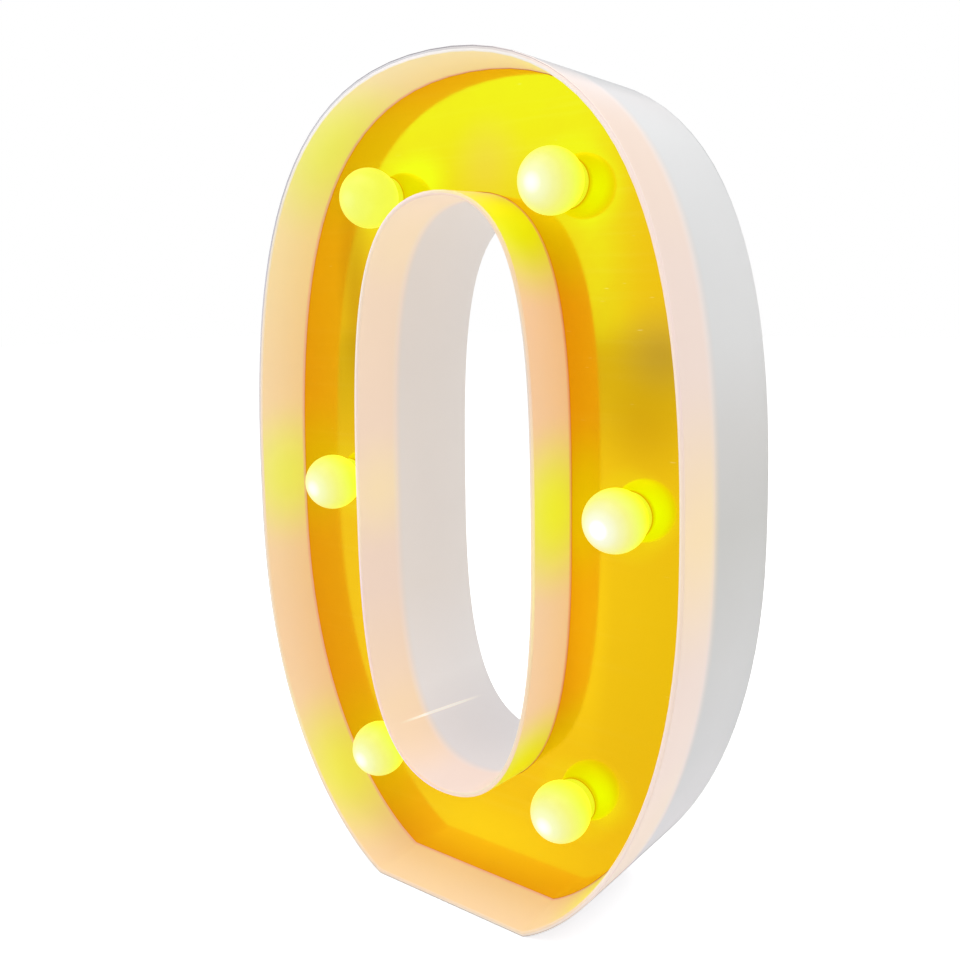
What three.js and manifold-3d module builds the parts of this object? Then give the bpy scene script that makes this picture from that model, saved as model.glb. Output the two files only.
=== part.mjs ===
// A battery-run light in the shape of the numeral 0, standing on its flat foot.
// The open front faces -Y and the back cover faces +Y. Lengths are in millimetres.
// Origin: on the ground, in the middle of the foot.
import * as THREE from "three";
import { mergeVertices } from "three/addons/utils/BufferGeometryUtils.js";
import Module from "manifold-3d";

const wasm = await Module();
wasm.setup();

// Numeral
const height = 220;
const depth = 46;
const halfWidth = 68.5;
const widestHeight = 99.9;
const footHalfWidth = 25.1;
const footFlareDegrees = 24.4;
const sideBand = 39.1;
const topBand = 32;
const bottomBand = 32.2;

// Reach of each curve handle, as a share of the span that the curve crosses
const outerShares = { foot: 0.262, lowerSide: 0.702, upperSide: 0.446, top: 0.942 };
const openingShares = { bottom: 0.886, lowerSide: 0.483, upperSide: 0.565, top: 0.998 };

// Walls: thin at the front rim, thicker down to the ledge that the floor sits under
const outerRim = 1.4;
const outerLedge = 2.6;
const outerBackWall = 1.6;
const innerWallThickness = 1.25;
const innerLedge = 0.6;

// Floor and mirror panel
const panelDepthShare = 0.33;
const panelThickness = 1;
const panelClearance = 0.25;
const floorThickness = 1.8;

// Globes, by their places along the upper or lower curves and across the band
// Radius and stand-off are shares of the panel's depth, and the neck is a share of the radius
const globeRadiusShare = 0.527;
const globeStandOffShare = 0.468;
const globeWall = 0.9;
const neckRadiusShare = 0.65;
const collarWidth = 0.7;
const collarThickness = 0.8;
const neckClearance = 0.25;
const topGlobeShares = { along: 0.7, across: 0.396 };
const sideGlobeShares = { along: 0.072, across: 0.442 };
const bottomGlobeShares = { along: 0.397, across: 0.436 };

// LEDs and the holders behind the floor
const ledRadius = 2.5;
const ledLength = 8.6;
const ledRimRadius = 2.9;
const ledRimThickness = 1;
const legWidth = 0.5;
const legPitch = 2.54;
const legOverhang = 2.4;
const holderFlangeWidth = 1.55;
const holderFlangeThickness = 1.4;
const holderPlugLength = 3;
const holderBoreRadius = 2.1;
const plugClearance = 0.25;

// Back cover and its screws
const coverThickness = 2.4;
const coverClearance = 0.3;
const bossInset = 7.5;
const bossRadius = 3;
const pilotRadius = 1.15;
const pilotDepth = 9;
const screwThreadRadius = 1;
const screwThreadLength = 8;
const screwHeadRadius = 2.6;
const screwHeadHeight = 1.5;
const screwHoleRadius = 1.4;
const screwRecessLength = 2.8;
const screwRecessWidth = 0.6;
const screwRecessDepth = 0.7;
const screwSlack = 0.2;
const screwToDoor = 16.1;
const topScrewShare = 0.86;
const lowerScrewShares = [0.2, 0.72];

// Keyhole
const keyholeHeadRadius = 4.5;
const keyholeSlotWidth = 5;
const keyholeSlotLength = 9;
const keyholeShare = 0.62;

// AA cells, side by side
const cellRadius = 7.25;
const cellLength = 50.5;
const cellNubRadius = 2.75;
const cellNubHeight = 1.2;
const cellClearance = 0.3;

// Battery tray, contacts and door
const trayWall = 1.2;
const trayRise = 4;
const trayShift = 1.5;
const trayRibHeight = 3;
const trayRibWidth = 1;
const contactThickness = 0.4;
const contactWidth = 9;
const contactHeight = 10;
const contactClearance = 0.15;
const springLength = 4.2;
const springRadius = 3;
const springTipRadius = 1.8;
const springWireRadius = 0.4;
const springTurns = 3.5;
const springStepsPerTurn = 10;
const springSides = 6;
const tabWidth = 3;
const tabLength = 3;
const tabClearance = 0.3;
const doorClearance = 0.3;
const doorLip = 0.5;
const lugRadius = 0.7;
const lugLength = 0.9;
const lugClearance = 0.15;
const tongueWidth = 10;
const tongueThickness = 1;
const tongueLength = 5;
const tongueClearance = 0.7;
const gripWidth = 14;
const gripDepth = 0.6;
const gripSpacing = 2.2;
const gripCount = 4;
const fingerDipRadius = 6;
const fingerDipDepth = 1.2;

// Slide switch
const switchToTray = 1.5;
const switchTravel = 4;
const switchLength = 13;
const switchWidth = 6.4;
const switchHeight = 6;
const switchFrameThickness = 0.5;
const switchEarLength = 22;
const switchEarHolePitch = 17.5;
const switchScrewRadius = 0.9;
const switchScrewHeadRadius = 1.8;
const switchScrewHeadHeight = 1;
const switchScrewLength = 2;
const switchGap = 0.3;
const switchBaseThickness = 1.6;
const switchFit = 0.15;
const switchDipMargin = 2;
const switchDipDepth = 1.2;
const knobLength = 5;
const knobWidth = 4;
const knobSink = 0.3;
const knobGroove = 0.4;
const pinWidth = 1;
const pinLength = 3.2;
const pinPitch = 4;

// Leads
const leadRadius = 0.6;
const leadGap = 0.3;
const leadBend = 4;
const leadApproach = 8;
const routeShares = {
  bottom: 0.5,
  lowerSide: { along: 0.8, across: 0.45 },
  upperSide: { along: 0.4, across: 0.45 },
  top: 0.5,
};

const cutOverrun = 1;
const cylinderSteps = 12;
const ballSteps = 5;
const globeSteps = 18;
const curveSteps = 13;
const leadSteps = 64;
const shortLeadSteps = 16;
const leadSides = 8;
const halvings = 24;
const vertexTolerance = 1e-4;

// Places worked out from the dimensions above. A depth is a distance back from the front rim.
const panelDepth = depth * panelDepthShare;
const ledgeDepth = panelDepth + panelThickness;
const floorBack = ledgeDepth + floorThickness;
const coverFront = depth - coverThickness;
const holderBack = floorBack + holderFlangeThickness;
const plugFront = floorBack - holderPlugLength;
const globeRadius = panelDepth * globeRadiusShare;
const globeMiddle = panelDepth * (1 - globeStandOffShare);
const neckRadius = globeRadius * neckRadiusShare;
const neckHole = neckRadius + neckClearance;
const neckBore = neckRadius - globeWall;
const holderFlangeRadius = neckHole + holderFlangeWidth;

const cellPitch = 2 * cellRadius + cellClearance;
const springReach = springLength + springWireRadius;
const trayInnerWidth = cellPitch + 2 * (cellRadius + cellClearance);
const trayInnerLength = cellLength + springReach + 2 * (contactThickness + contactClearance);
const trayX = sideBand / 2 - halfWidth + trayShift;
const trayMiddle = widestHeight + trayRise;
const trayFoot = trayMiddle - trayInnerLength / 2;
const trayHead = trayMiddle + trayInnerLength / 2;
const cellDepth = coverFront - cellClearance - cellRadius;
const trayFloorBack = cellDepth - cellRadius - cellClearance;
const trayFront = trayFloorBack - trayWall;

const doorWidth = trayInnerWidth + 2 * doorLip;
const doorFoot = trayFoot - doorLip;
const doorHead = trayHead + trayWall + tongueClearance + tongueThickness + doorLip;
const doorPivotHeight = doorFoot + coverThickness / 2;
const doorPivotDepth = coverFront + coverThickness / 2;

const switchX = trayX;
const switchMiddle = trayFoot - trayWall - switchEarLength / 2 - switchToTray;
const switchFront = coverFront - switchFrameThickness - switchHeight;
const switchInnerWidth = switchWidth - 2 * switchFrameThickness;
const switchInnerLength = switchLength - 2 * switchFrameThickness;
const carriageLength = switchInnerLength - switchTravel - 2 * switchGap;
const baseBack = switchFront + switchBaseThickness;

const legSide = legPitch / 2 + legWidth / 2;
const leadOffset = legSide + leadGap + leadRadius;
const leadDepth = holderBack + leadGap + leadRadius;

const yAt = (fromFront) => fromFront - depth / 2;

// Outlines, drawn in the plane of the numeral: x across, y up
const outer = {
  lower: new THREE.CubicBezierCurve(
    new THREE.Vector2(footHalfWidth, 0),
    new THREE.Vector2(outerShares.foot * (halfWidth - footHalfWidth), 0)
      .rotateAround(new THREE.Vector2(), THREE.MathUtils.degToRad(footFlareDegrees))
      .add(new THREE.Vector2(footHalfWidth, 0)),
    new THREE.Vector2(halfWidth, widestHeight * (1 - outerShares.lowerSide)),
    new THREE.Vector2(halfWidth, widestHeight),
  ),
  upper: new THREE.CubicBezierCurve(
    new THREE.Vector2(halfWidth, widestHeight),
    new THREE.Vector2(halfWidth, THREE.MathUtils.lerp(widestHeight, height, outerShares.upperSide)),
    new THREE.Vector2(outerShares.top * halfWidth, height),
    new THREE.Vector2(0, height),
  ),
};
const openingHalfWidth = halfWidth - sideBand;
const openingHead = height - topBand;
const opening = {
  lower: new THREE.CubicBezierCurve(
    new THREE.Vector2(0, bottomBand),
    new THREE.Vector2(openingShares.bottom * openingHalfWidth, bottomBand),
    new THREE.Vector2(
      openingHalfWidth,
      THREE.MathUtils.lerp(widestHeight, bottomBand, openingShares.lowerSide),
    ),
    new THREE.Vector2(openingHalfWidth, widestHeight),
  ),
  upper: new THREE.CubicBezierCurve(
    new THREE.Vector2(openingHalfWidth, widestHeight),
    new THREE.Vector2(
      openingHalfWidth,
      THREE.MathUtils.lerp(widestHeight, openingHead, openingShares.upperSide),
    ),
    new THREE.Vector2(openingShares.top * openingHalfWidth, openingHead),
    new THREE.Vector2(0, openingHead),
  ),
};

// The whole outline, anticlockwise, from the curves of its right half
function outlineOf({ lower, upper }) {
  const right = [...lower.getPoints(curveSteps), ...upper.getPoints(curveSteps).slice(1)];
  const firstMirrored = right[0].x === 0 ? 1 : 0;
  const left = right.slice(firstMirrored, -1).map((point) => new THREE.Vector2(-point.x, point.y));
  return [...right, ...left.reverse()];
}

const outerOutline = outlineOf(outer);
const openingOutline = outlineOf(opening);

// The outline moved inwards by a distance, or outwards by a negative one, with mitred corners
function insetLoop(outline, inset) {
  return outline.map((point, i) => {
    const arriving = point.clone().sub(outline.at(i - 1)).normalize();
    const leaving = outline[(i + 1) % outline.length].clone().sub(point).normalize();
    const along = arriving.clone().add(leaving).normalize();
    const reach = inset / along.dot(arriving);
    return new THREE.Vector2(point.x - along.y * reach, point.y + along.x * reach);
  });
}

// A place in the band between the two outlines, by its shares along a curve and across the band
function bandPlace(quarter, { along, across }, side) {
  const place = opening[quarter].getPoint(along).lerp(outer[quarter].getPoint(along), across);
  return new THREE.Vector2(side * place.x, place.y);
}

// Solids and their geometry
function solidOf(geometry) {
  const bare = geometry.clone();
  bare.deleteAttribute("normal");
  bare.deleteAttribute("uv");
  const merged = mergeVertices(bare, vertexTolerance);
  return new wasm.Manifold(
    new wasm.Mesh({
      numProp: 3,
      vertProperties: merged.attributes.position.array,
      triVerts: new Uint32Array(merged.index.array),
    }),
  );
}

function geometryOf(solid) {
  const { vertProperties, triVerts } = solid.getMesh();
  const geometry = new THREE.BufferGeometry();
  geometry.setAttribute("position", new THREE.BufferAttribute(vertProperties, 3));
  geometry.setIndex(new THREE.BufferAttribute(triVerts, 1));
  geometry.computeVertexNormals();
  return geometry;
}

// A closed cross-section of [inset, depth] corners, swept around an outline
function ringSolid(outline, section) {
  const loops = section.map(([inset, fromFront]) =>
    insetLoop(outline, inset).map((point) => [point.x, yAt(fromFront), point.y]),
  );
  const index = [];
  loops.forEach((loop, i) => {
    const here = i * loop.length;
    const there = ((i + 1) % loops.length) * loop.length;
    loop.forEach((point, j) => {
      const next = (j + 1) % loop.length;
      index.push(here + j, there + next, here + next);
      index.push(here + j, there + j, there + next);
    });
  });
  const geometry = new THREE.BufferGeometry();
  geometry.setAttribute("position", new THREE.Float32BufferAttribute(loops.flat(2), 3));
  geometry.setIndex(index);
  return solidOf(geometry);
}

// A flat plate in the plane of the numeral, from one depth back to another
function plateSolid(loop, holeLoops, front, back) {
  const shape = new THREE.Shape(loop);
  shape.holes = holeLoops.map((hole) => new THREE.Path(hole));
  const geometry = new THREE.ExtrudeGeometry(shape, { depth: back - front, bevelEnabled: false });
  geometry.rotateX(Math.PI / 2);
  geometry.translate(0, yAt(back), 0);
  return solidOf(geometry);
}

// A box by its size and its middle; depths run from the first to the second
function blockSolid(x, width, front, back, z, tall) {
  const geometry = new THREE.BoxGeometry(width, back - front, tall);
  geometry.translate(x, yAt((front + back) / 2), z);
  return solidOf(geometry);
}

// A round bar that runs front to back
function barSolid(x, z, radius, front, back, steps = cylinderSteps) {
  const geometry = new THREE.CylinderGeometry(radius, radius, back - front, steps);
  geometry.translate(x, yAt((front + back) / 2), z);
  return solidOf(geometry);
}

// A round piece turned about a front-to-back axis, from [radius, depth] corners
function turnedSolid(x, z, corners, steps = cylinderSteps) {
  const profile = corners.map(([radius, fromFront]) => new THREE.Vector2(radius, yAt(fromFront)));
  const geometry = new THREE.LatheGeometry(profile, steps);
  geometry.translate(x, 0, z);
  return solidOf(geometry);
}

// A round tube along a curve
function tubeSolid(curve, radius, steps, sides) {
  const section = new THREE.Shape();
  section.absarc(0, 0, radius, 0, 2 * Math.PI);
  const geometry = new THREE.ExtrudeGeometry(section, {
    steps,
    curveSegments: sides / 2,
    extrudePath: curve,
  });
  return solidOf(geometry);
}

function circleLoop({ x, y }, radius) {
  return new THREE.EllipseCurve(x, y, radius, radius).getPoints(cylinderSteps).slice(1);
}

// Corners of a ball about a middle on the axis, from its front pole back to the radius where a neck starts
function arcCorners(radius, middle, endRadius) {
  const end = Math.PI - Math.asin(endRadius / radius);
  return Array.from({ length: ballSteps + 1 }, (_, i) => {
    const angle = (end * i) / ballSteps;
    return [radius * Math.sin(angle), middle - radius * Math.cos(angle)];
  });
}

// The six globe places in the order in which the leads reach them, with bends of the route between
const route = [
  { name: "bottom_left", place: bandPlace("lower", bottomGlobeShares, -1) },
  { place: new THREE.Vector2(0, bottomBand * routeShares.bottom) },
  { name: "bottom_right", place: bandPlace("lower", bottomGlobeShares, 1) },
  { place: bandPlace("lower", routeShares.lowerSide, 1) },
  { name: "side_right", place: bandPlace("upper", sideGlobeShares, 1) },
  { place: bandPlace("upper", routeShares.upperSide, 1) },
  { name: "top_right", place: bandPlace("upper", topGlobeShares, 1) },
  { place: new THREE.Vector2(0, height - topBand * routeShares.top) },
  { name: "top_left", place: bandPlace("upper", topGlobeShares, -1) },
  { place: bandPlace("upper", routeShares.upperSide, -1) },
  { name: "side_left", place: bandPlace("upper", sideGlobeShares, -1) },
];
const routeCurve = new THREE.SplineCurve(route.map(({ place }) => place));
route.forEach((stop, i) => {
  const along = routeCurve.getTangent(i / (route.length - 1));
  stop.across = new THREE.Vector2(-along.y, along.x);
});
const globePlaces = route.filter(({ name }) => name);

// Cover screws, a fixed distance in from the outer outline
// One pair keeps its distance above the battery door
const doorScrewShare = screwShareAt(outer.upper, doorHead + screwToDoor);
const screwPlaces = [1, -1].flatMap((side) => [
  ...[doorScrewShare, topScrewShare].map((share) => screwPlace(outer.upper, share, side)),
  ...lowerScrewShares.map((share) => screwPlace(outer.lower, share, side)),
]);

function screwPlace(curve, share, side) {
  const along = curve.getTangent(share);
  const place = curve.getPoint(share).add(new THREE.Vector2(-along.y, along.x).setLength(bossInset));
  return new THREE.Vector2(side * place.x, place.y);
}

// Share along a rising curve at which its screw stands at a height, found by halving
function screwShareAt(curve, z) {
  let [low, high] = [0, 1];
  for (let i = 0; i < halvings; i += 1) {
    const middle = (low + high) / 2;
    [low, high] = screwPlace(curve, middle, 1).y < z ? [middle, high] : [low, middle];
  }
  return low;
}

// White channel
function outerWall() {
  return ringSolid(outerOutline, [
    [0, 0],
    [0, depth],
    [outerBackWall, depth],
    [outerBackWall, ledgeDepth],
    [outerLedge, ledgeDepth],
    [outerRim, 0],
  ]);
}

function innerWall() {
  return ringSolid(openingOutline, [
    [0, 0],
    [-innerLedge, ledgeDepth],
    [0, ledgeDepth],
    [0, depth],
    [innerWallThickness, depth],
    [innerWallThickness, 0],
  ]);
}

function floorWeb() {
  const holes = globePlaces.map(({ place }) => circleLoop(place, neckHole));
  const floor = plateSolid(
    insetLoop(outerOutline, outerBackWall),
    [openingOutline, ...holes],
    ledgeDepth,
    floorBack,
  );
  return screwPlaces.reduce((web, { x, y }) => {
    const boss = barSolid(x, y, bossRadius, ledgeDepth, coverFront);
    const pilot = barSolid(x, y, pilotRadius, coverFront - pilotDepth, coverFront + cutOverrun);
    return web.add(boss).subtract(pilot);
  }, floor);
}

function mirrorPanel() {
  const holes = globePlaces.map(({ place }) => circleLoop(place, neckHole));
  return plateSolid(
    insetLoop(outerOutline, outerLedge + panelClearance),
    [insetLoop(openingOutline, -innerLedge - panelClearance), ...holes],
    panelDepth,
    ledgeDepth,
  );
}

// Globe, LED and holder at one place
function globe({ x, y }) {
  const collarFront = panelDepth - collarThickness;
  const collarRadius = neckRadius + collarWidth;
  const neckEnd = floorBack - neckClearance;
  return turnedSolid(x, y, [
    ...arcCorners(globeRadius, globeMiddle, neckRadius),
    [neckRadius, collarFront],
    [collarRadius, collarFront],
    [collarRadius, panelDepth],
    [neckRadius, panelDepth],
    [neckRadius, neckEnd],
    [neckBore, neckEnd],
    ...arcCorners(globeRadius - globeWall, globeMiddle, neckBore).reverse(),
  ], globeSteps);
}

function ledHolder({ x, y }) {
  const plugRadius = neckBore - plugClearance;
  return turnedSolid(x, y, [
    [holderBoreRadius, plugFront],
    [plugRadius, plugFront],
    [plugRadius, floorBack],
    [holderFlangeRadius, floorBack],
    [holderFlangeRadius, holderBack],
    [holderBoreRadius, holderBack],
    [holderBoreRadius, plugFront],
  ]);
}

function led({ x, y }, across) {
  const tip = plugFront - ledLength;
  const domeCorners = Array.from({ length: ballSteps }, (_, i) => {
    const angle = (Math.PI / 2) * (i / (ballSteps - 1));
    return [ledRadius * Math.sin(angle), tip + ledRadius * (1 - Math.cos(angle))];
  });
  const body = turnedSolid(x, y, [
    ...domeCorners,
    [ledRadius, plugFront - ledRimThickness],
    [ledRimRadius, plugFront - ledRimThickness],
    [ledRimRadius, plugFront],
    [0, plugFront],
  ]);
  const turn = THREE.MathUtils.radToDeg(across.angle());
  return [1, -1].reduce((whole, side) => {
    const leg = blockSolid(
      (side * legPitch) / 2,
      legWidth,
      plugFront - ledRimThickness / 2,
      holderBack + legOverhang,
      0,
      legWidth,
    );
    return whole.add(leg.rotate([0, -turn, 0]).translate([x, 0, y]));
  }, body);
}

// Back cover
function backCover() {
  const plate = plateSolid(
    insetLoop(outerOutline, outerBackWall + coverClearance),
    [insetLoop(openingOutline, -coverClearance)],
    coverFront,
    depth,
  );
  const cuts = [...doorCuts(), ...switchCuts(), ...keyholeCuts(), ...screwPlaces.map(screwSink)];
  return cuts.reduce((cover, cut) => cover.subtract(cut), plate);
}

function doorCuts() {
  const tall = doorHead - doorFoot + 2 * doorClearance;
  const width = doorWidth + 2 * doorClearance;
  const front = coverFront - cutOverrun;
  const notchRadius = lugRadius + lugClearance;
  const notchWidth = doorWidth + 2 * (lugLength + lugClearance);
  return [
    blockSolid(trayX, width, front, depth + cutOverrun, (doorFoot + doorHead) / 2, tall),
    blockSolid(trayX, notchWidth, front, doorPivotDepth + notchRadius, doorPivotHeight, 2 * notchRadius),
    barSolid(trayX, doorHead, fingerDipRadius, depth - fingerDipDepth, depth + cutOverrun),
  ];
}

function switchCuts() {
  const width = knobWidth + 2 * switchGap;
  const tall = knobLength + switchTravel + 2 * switchGap;
  const dipWidth = width + 2 * switchDipMargin;
  const dipTall = tall + 2 * switchDipMargin;
  const dipFront = depth - switchDipDepth;
  return [
    blockSolid(switchX, width, coverFront - cutOverrun, depth + cutOverrun, switchMiddle, tall),
    blockSolid(switchX, dipWidth, dipFront, depth + cutOverrun, switchMiddle, dipTall),
    ...switchScrewHeights().map((z) =>
      barSolid(
        switchX,
        z,
        switchScrewRadius + screwSlack,
        coverFront - cutOverrun,
        coverFront + switchScrewLength,
      ),
    ),
  ];
}

function switchScrewHeights() {
  return [1, -1].map((side) => switchMiddle + (side * switchEarHolePitch) / 2);
}

function keyholeCuts() {
  const z = height - topBand * keyholeShare;
  const front = coverFront - cutOverrun;
  const back = depth + cutOverrun;
  return [
    barSolid(0, z, keyholeHeadRadius, front, back),
    blockSolid(0, keyholeSlotWidth, front, back, z + keyholeSlotLength / 2, keyholeSlotLength),
    barSolid(0, z + keyholeSlotLength, keyholeSlotWidth / 2, front, back),
  ];
}

function screwSink({ x, y }) {
  return turnedSolid(x, y, [
    [0, coverFront - cutOverrun],
    [screwHoleRadius, coverFront - cutOverrun],
    [screwHoleRadius, depth - screwHeadHeight],
    [screwHeadRadius + screwSlack, depth],
    [screwHeadRadius + screwSlack, depth + cutOverrun],
    [0, depth + cutOverrun],
  ]);
}

function coverScrew({ x, y }) {
  const screw = turnedSolid(x, y, [
    [0, depth - screwHeadHeight - screwThreadLength],
    [screwThreadRadius, depth - screwHeadHeight - screwThreadLength + screwThreadRadius],
    [screwThreadRadius, depth - screwHeadHeight],
    [screwHeadRadius, depth],
    [0, depth],
  ]);
  const front = depth - screwRecessDepth;
  const back = depth + cutOverrun;
  return screw
    .subtract(blockSolid(x, screwRecessLength, front, back, y, screwRecessWidth))
    .subtract(blockSolid(x, screwRecessWidth, front, back, y, screwRecessLength));
}

// Battery compartment
function batteryTray() {
  const tall = trayInnerLength + 2 * trayWall;
  const width = trayInnerWidth + 2 * trayWall;
  const shell = blockSolid(trayX, width, trayFront, coverFront, trayMiddle, tall);
  const hollow = blockSolid(
    trayX,
    trayInnerWidth,
    trayFloorBack,
    coverFront + cutOverrun,
    trayMiddle,
    trayInnerLength,
  );
  const rib = blockSolid(
    trayX,
    trayRibWidth,
    trayFloorBack - trayWall / 2,
    trayFloorBack + trayRibHeight,
    trayMiddle,
    trayInnerLength - 2 * contactWidth,
  );
  const slots = [1, -1].map((side) =>
    blockSolid(
      trayX + (side * cellPitch) / 2,
      tabWidth + 2 * tabClearance,
      trayFront - cutOverrun,
      trayFloorBack + cutOverrun,
      trayFoot + contactThickness,
      2 * contactThickness,
    ),
  );
  return slots.reduce((tray, slot) => tray.subtract(slot), shell.subtract(hollow).add(rib));
}

// A cell with its nub up or down
function batteryCell(side, nubSide) {
  const nearEnd = contactThickness + contactClearance;
  const nubEnd = trayMiddle + nubSide * (trayInnerLength / 2 - nearEnd);
  const flatEnd = nubEnd - nubSide * cellLength;
  const corners = [
    [0, 0],
    [cellRadius, 0],
    [cellRadius, cellLength - cellNubHeight],
    [cellNubRadius, cellLength - cellNubHeight],
    [cellNubRadius, cellLength],
    [0, cellLength],
  ];
  const geometry = new THREE.LatheGeometry(
    corners.map(([radius, along]) => new THREE.Vector2(radius, along)),
    2 * cylinderSteps,
  );
  geometry.rotateX((nubSide * Math.PI) / 2);
  geometry.translate(trayX + (side * cellPitch) / 2, yAt(cellDepth), flatEnd);
  return solidOf(geometry);
}

// Conical spring from a contact plate to the flat end of a cell
class ContactSpring extends THREE.Curve {
  constructor(x, plateHeight, upwards) {
    super();
    Object.assign(this, { x, plateHeight, upwards });
  }

  getPoint(t, target = new THREE.Vector3()) {
    const angle = 2 * Math.PI * springTurns * t;
    const radius = THREE.MathUtils.lerp(springRadius, springTipRadius, t);
    return target.set(
      this.x + radius * Math.cos(angle),
      yAt(cellDepth) + radius * Math.sin(angle),
      this.plateHeight + this.upwards * springLength * t,
    );
  }
}

function contactSpring(x, plateHeight, upwards) {
  const steps = Math.round(springTurns * springStepsPerTurn);
  return tubeSolid(new ContactSpring(x, plateHeight, upwards), springWireRadius, steps, springSides);
}

// Foot contact of one cell: a plate with a solder tab through the tray's floor
function footContact(side, hasSpring) {
  const x = trayX + (side * cellPitch) / 2;
  const z = trayFoot + contactThickness / 2;
  const plate = blockSolid(
    x,
    contactWidth,
    cellDepth - contactHeight / 2,
    cellDepth + contactHeight / 2,
    z,
    contactThickness,
  );
  const tab = blockSolid(x, tabWidth, trayFront - tabLength, cellDepth, z, contactThickness);
  const contact = plate.add(tab);
  return hasSpring ? contact.add(contactSpring(x, trayFoot + contactThickness, 1)) : contact;
}

function contactBridge() {
  const plate = blockSolid(
    trayX,
    cellPitch + contactWidth,
    cellDepth - contactHeight / 2,
    cellDepth + contactHeight / 2,
    trayHead - contactThickness / 2,
    contactThickness,
  );
  return plate.add(contactSpring(trayX - cellPitch / 2, trayHead - contactThickness, -1));
}

function batteryDoor() {
  const tall = doorHead - doorPivotHeight;
  const plate = blockSolid(trayX, doorWidth, coverFront, depth, doorPivotHeight + tall / 2, tall);
  const edge = crossBar(doorWidth, coverThickness / 2);
  const lugs = crossBar(doorWidth + 2 * lugLength, lugRadius);
  const tongueHeight = trayHead + trayWall + tongueClearance + tongueThickness / 2;
  const tongue = blockSolid(
    trayX,
    tongueWidth,
    coverFront - tongueLength,
    doorPivotDepth,
    tongueHeight,
    tongueThickness,
  );
  const grooves = Array.from({ length: gripCount }, (_, i) =>
    blockSolid(
      trayX,
      gripWidth,
      depth - gripDepth,
      depth + cutOverrun,
      trayHead - i * gripSpacing,
      gripSpacing / 2,
    ),
  );
  const whole = plate.add(edge).add(lugs).add(tongue);
  return grooves.reduce((door, groove) => door.subtract(groove), whole);
}

// A round bar across the foot of the door, on its pivot
function crossBar(length, radius) {
  const geometry = new THREE.CylinderGeometry(radius, radius, length, cylinderSteps);
  geometry.rotateZ(Math.PI / 2);
  geometry.translate(trayX, yAt(doorPivotDepth), doorPivotHeight);
  return solidOf(geometry);
}

// Slide switch
function switchFrame() {
  const earFront = coverFront - switchFrameThickness;
  const ears = blockSolid(switchX, switchWidth, earFront, coverFront, switchMiddle, switchEarLength);
  const can = blockSolid(switchX, switchWidth, switchFront, coverFront, switchMiddle, switchLength);
  const hollow = blockSolid(
    switchX,
    switchInnerWidth,
    switchFront - cutOverrun,
    earFront,
    switchMiddle,
    switchInnerLength,
  );
  const slot = blockSolid(
    switchX,
    knobWidth + 2 * switchGap,
    earFront - cutOverrun,
    coverFront + cutOverrun,
    switchMiddle,
    knobLength + switchTravel + 2 * switchGap,
  );
  const frame = ears.add(can).subtract(hollow).subtract(slot);
  return switchScrewHeights().reduce(
    (rest, z) =>
      rest.subtract(
        barSolid(switchX, z, switchScrewRadius + screwSlack, earFront - cutOverrun, coverFront + cutOverrun),
      ),
    frame,
  );
}

function switchBase() {
  const base = blockSolid(
    switchX,
    switchInnerWidth - 2 * switchFit,
    switchFront,
    baseBack,
    switchMiddle,
    switchInnerLength - 2 * switchFit,
  );
  return [-1, 0, 1].reduce(
    (rest, step) =>
      rest.add(
        blockSolid(
          switchX,
          pinWidth,
          switchFront - pinLength,
          (switchFront + baseBack) / 2,
          switchMiddle + step * pinPitch,
          pinWidth / 2,
        ),
      ),
    base,
  );
}

function switchSlider() {
  const z = switchMiddle + switchTravel / 2;
  const carriageBack = coverFront - switchFrameThickness - switchFit;
  const knobBack = depth - knobSink;
  const carriage = blockSolid(
    switchX,
    switchInnerWidth - 2 * switchGap,
    baseBack + switchFit,
    carriageBack,
    z,
    carriageLength,
  );
  const knob = blockSolid(switchX, knobWidth, carriageBack - cutOverrun, knobBack, z, knobLength);
  return [-1, 0, 1].reduce(
    (rest, step) =>
      rest.subtract(
        blockSolid(
          switchX,
          knobWidth + cutOverrun,
          knobBack - knobGroove,
          knobBack + cutOverrun,
          z + (step * knobLength) / 4,
          knobLength / 8,
        ),
      ),
    carriage.add(knob),
  );
}

function switchScrew(z) {
  const earFront = coverFront - switchFrameThickness;
  const end = coverFront + switchScrewLength - screwSlack;
  return turnedSolid(switchX, z, [
    [0, earFront - switchScrewHeadHeight],
    [switchScrewHeadRadius, earFront - switchScrewHeadHeight],
    [switchScrewHeadRadius, earFront],
    [switchScrewRadius, earFront],
    [switchScrewRadius, end],
    [0, end],
  ]);
}

// Leads: the route past the LED legs, to one side of them, after the points that lead up to it
function chainPoints(side) {
  const points = route.map(
    ({ place, across }) =>
      new THREE.Vector3(
        place.x + side * leadOffset * across.x,
        yAt(leadDepth),
        place.y + side * leadOffset * across.y,
      ),
  );
  const along = new THREE.Vector3(route[0].across.y, 0, -route[0].across.x);
  const approach = [2, 1].map((step) => points[0].clone().addScaledVector(along, -step * leadApproach));
  return [...approach, ...points];
}

function lead(points, steps) {
  return tubeSolid(new THREE.CatmullRomCurve3(points), leadRadius, steps, leadSides);
}

function leadToLeds(start, side) {
  return lead([...start, ...chainPoints(side)], leadSteps);
}

const tabDepth = trayFront - tabLength / 2;
const tabPoint = (side) => [
  new THREE.Vector3(trayX + (side * cellPitch) / 2, yAt(tabDepth), trayFoot - leadGap),
  new THREE.Vector3(trayX + (side * cellPitch) / 2, yAt(tabDepth), trayFoot - leadGap - leadBend),
];
const pinPoint = (step) => [
  new THREE.Vector3(switchX, yAt(switchFront - pinLength - leadGap), switchMiddle + step * pinPitch),
  new THREE.Vector3(
    switchX,
    yAt(switchFront - pinLength - leadGap - leadBend),
    switchMiddle + step * pinPitch,
  ),
];

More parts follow.
